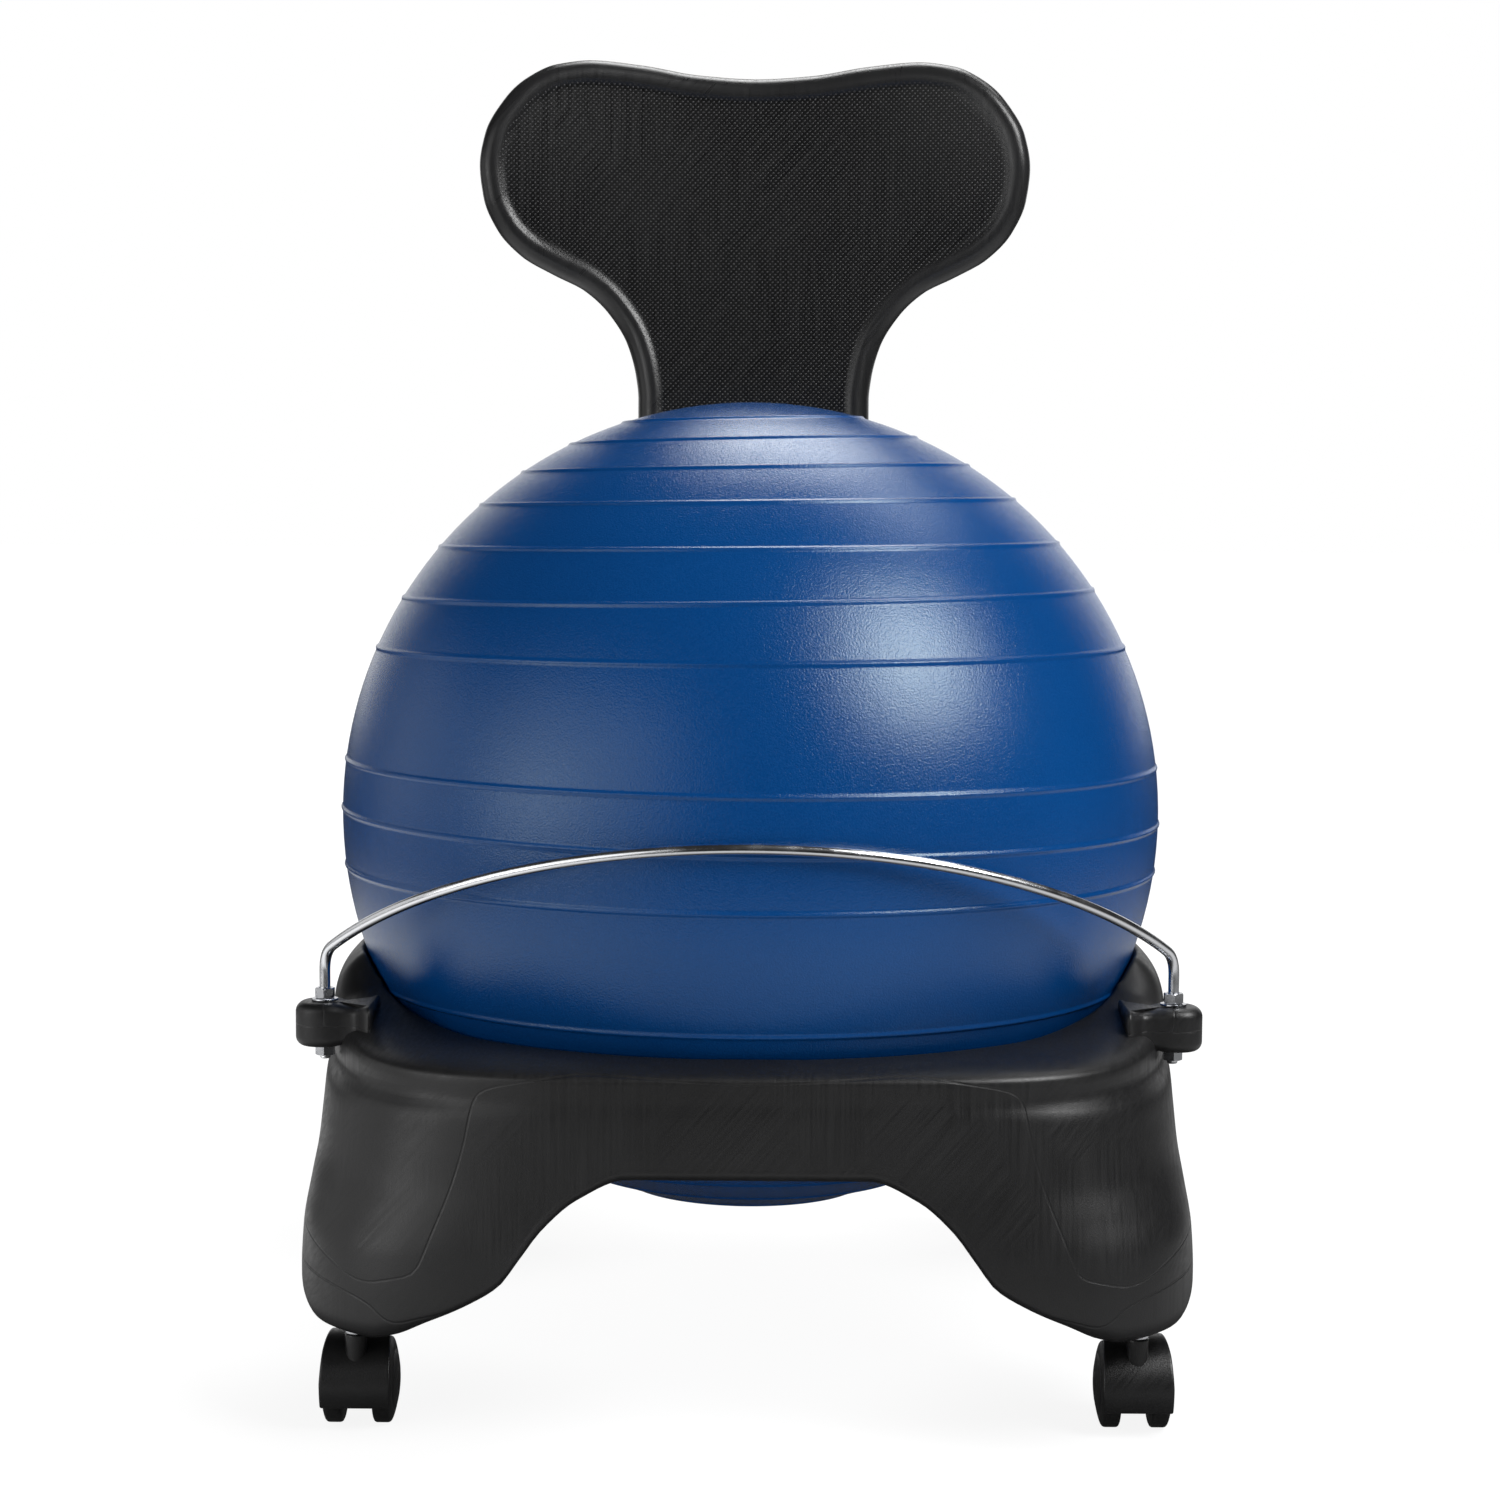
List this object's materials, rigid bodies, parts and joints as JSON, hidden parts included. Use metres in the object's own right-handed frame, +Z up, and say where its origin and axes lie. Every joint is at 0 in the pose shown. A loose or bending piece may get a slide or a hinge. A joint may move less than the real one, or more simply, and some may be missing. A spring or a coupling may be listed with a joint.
{
  "type": "balance ball chair",
  "caption": "Desk chair whose seat is an air-filled ball held in a moulded base on casters, with a moulded backrest and a bent retaining bar.",
  "frame": {"origin": "on the floor, under the middle of the chair's overall width and depth", "axes": "+Z up, +X towards the chair's right seen from the front, the front faces -Y and the backrest is at +Y"},
  "size_m": [0.5436, 0.5856, 0.8553],
  "materials": {
    "base_plastic": "black blow-moulded polyethylene, satin, faint scuffs and mould lines",
    "backrest_plastic": "black moulded plastic with a fine grid of raised dots inside a smooth rim",
    "ball_vinyl": "blue pearl vinyl, satin, fine speckle, thin raised rings",
    "plug_plastic": "off-white moulded plastic",
    "chrome": "chrome-plated steel rod",
    "zinc": "zinc-plated steel, slightly blue",
    "brass": "plain turned brass",
    "caster_plastic": "black moulded nylon, fine grain",
    "wheel_plastic": "black moulded nylon tread",
    "socket_plastic": "black moulded sleeve"
  },
  "bodies": {
    "frame": {"base_frame": "base_plastic", "backrest": "backrest_plastic", "retaining_bar": "chrome", "bar_washer_left": "zinc", "bar_nut_upper_left": "zinc", "bar_nut_lower_left": "zinc", "backrest_insert_left": "brass", "backrest_washer_left": "zinc", "backrest_bolt_left": "zinc", "bar_washer_right": "zinc", "bar_nut_upper_right": "zinc", "bar_nut_lower_right": "zinc", "backrest_insert_right": "brass", "backrest_washer_right": "zinc", "backrest_bolt_right": "zinc", "caster_socket_front_left": "socket_plastic", "caster_stem_front_left": "zinc", "caster_socket_front_right": "socket_plastic", "caster_stem_front_right": "zinc", "caster_socket_rear_left": "socket_plastic", "caster_stem_rear_left": "zinc", "caster_socket_rear_right": "socket_plastic", "caster_stem_rear_right": "zinc"},
    "ball": {"ball": "ball_vinyl"},
    "plug": {"ball_plug": "plug_plastic"},
    "caster_front_left": {"caster_hood_front_left": "caster_plastic", "caster_axle_front_left": "zinc"},
    "wheel_front_left_left": {"caster_wheel_front_left_left": "wheel_plastic"},
    "wheel_front_left_right": {"caster_wheel_front_left_right": "wheel_plastic"},
    "caster_front_right": {"caster_hood_front_right": "caster_plastic", "caster_axle_front_right": "zinc"},
    "wheel_front_right_left": {"caster_wheel_front_right_left": "wheel_plastic"},
    "wheel_front_right_right": {"caster_wheel_front_right_right": "wheel_plastic"},
    "caster_rear_left": {"caster_hood_rear_left": "caster_plastic", "caster_axle_rear_left": "zinc"},
    "wheel_rear_left_left": {"caster_wheel_rear_left_left": "wheel_plastic"},
    "wheel_rear_left_right": {"caster_wheel_rear_left_right": "wheel_plastic"},
    "brake_rear_left": {"brake_lever_rear_left": "caster_plastic"},
    "caster_rear_right": {"caster_hood_rear_right": "caster_plastic", "caster_axle_rear_right": "zinc"},
    "wheel_rear_right_left": {"caster_wheel_rear_right_left": "wheel_plastic"},
    "wheel_rear_right_right": {"caster_wheel_rear_right_right": "wheel_plastic"},
    "brake_rear_right": {"brake_lever_rear_right": "caster_plastic"}
  },
  "joints": [
    {"name": "ball_lift", "type": "slide", "parent": "frame", "child": "ball", "axis": [0, 0, 1], "range_m": [0, 0.79]},
    {"name": "plug_pull", "type": "slide", "parent": "ball", "child": "plug", "axis": [0, 0, -1], "range_m": [0, 0.03]},
    {"name": "caster_swivel_front_left", "type": "hinge", "parent": "frame", "child": "caster_front_left", "pos_m": [-0.2268, -0.23862, 0.05], "axis": [0, 0, 1], "continuous": true},
    {"name": "wheel_spin_front_left_left", "type": "hinge", "parent": "caster_front_left", "child": "wheel_front_left_left", "pos_m": [-0.2268, -0.22062, 0.025], "axis": [1, 0, 0], "continuous": true},
    {"name": "wheel_spin_front_left_right", "type": "hinge", "parent": "caster_front_left", "child": "wheel_front_left_right", "pos_m": [-0.2268, -0.22062, 0.025], "axis": [1, 0, 0], "continuous": true},
    {"name": "caster_swivel_front_right", "type": "hinge", "parent": "frame", "child": "caster_front_right", "pos_m": [0.2268, -0.23862, 0.05], "axis": [0, 0, 1], "continuous": true},
    {"name": "wheel_spin_front_right_left", "type": "hinge", "parent": "caster_front_right", "child": "wheel_front_right_left", "pos_m": [0.2268, -0.22062, 0.025], "axis": [1, 0, 0], "continuous": true},
    {"name": "wheel_spin_front_right_right", "type": "hinge", "parent": "caster_front_right", "child": "wheel_front_right_right", "pos_m": [0.2268, -0.22062, 0.025], "axis": [1, 0, 0], "continuous": true},
    {"name": "caster_swivel_rear_left", "type": "hinge", "parent": "frame", "child": "caster_rear_left", "pos_m": [-0.2268, 0.18938, 0.05], "axis": [0, 0, 1], "continuous": true},
    {"name": "wheel_spin_rear_left_left", "type": "hinge", "parent": "caster_rear_left", "child": "wheel_rear_left_left", "pos_m": [-0.2268, 0.20738, 0.025], "axis": [1, 0, 0], "continuous": true},
    {"name": "wheel_spin_rear_left_right", "type": "hinge", "parent": "caster_rear_left", "child": "wheel_rear_left_right", "pos_m": [-0.2268, 0.20738, 0.025], "axis": [1, 0, 0], "continuous": true},
    {"name": "brake_press_rear_left", "type": "hinge", "parent": "caster_rear_left", "child": "brake_rear_left", "pos_m": [-0.2268, 0.23458, 0.04335], "axis": [-1, 0, 0], "range_deg": [0, 20]},
    {"name": "caster_swivel_rear_right", "type": "hinge", "parent": "frame", "child": "caster_rear_right", "pos_m": [0.2268, 0.18938, 0.05], "axis": [0, 0, 1], "continuous": true},
    {"name": "wheel_spin_rear_right_left", "type": "hinge", "parent": "caster_rear_right", "child": "wheel_rear_right_left", "pos_m": [0.2268, 0.20738, 0.025], "axis": [1, 0, 0], "continuous": true},
    {"name": "wheel_spin_rear_right_right", "type": "hinge", "parent": "caster_rear_right", "child": "wheel_rear_right_right", "pos_m": [0.2268, 0.20738, 0.025], "axis": [1, 0, 0], "continuous": true},
    {"name": "brake_press_rear_right", "type": "hinge", "parent": "caster_rear_right", "child": "brake_rear_right", "pos_m": [0.2268, 0.23458, 0.04335], "axis": [-1, 0, 0], "range_deg": [0, 20]}
  ]
}
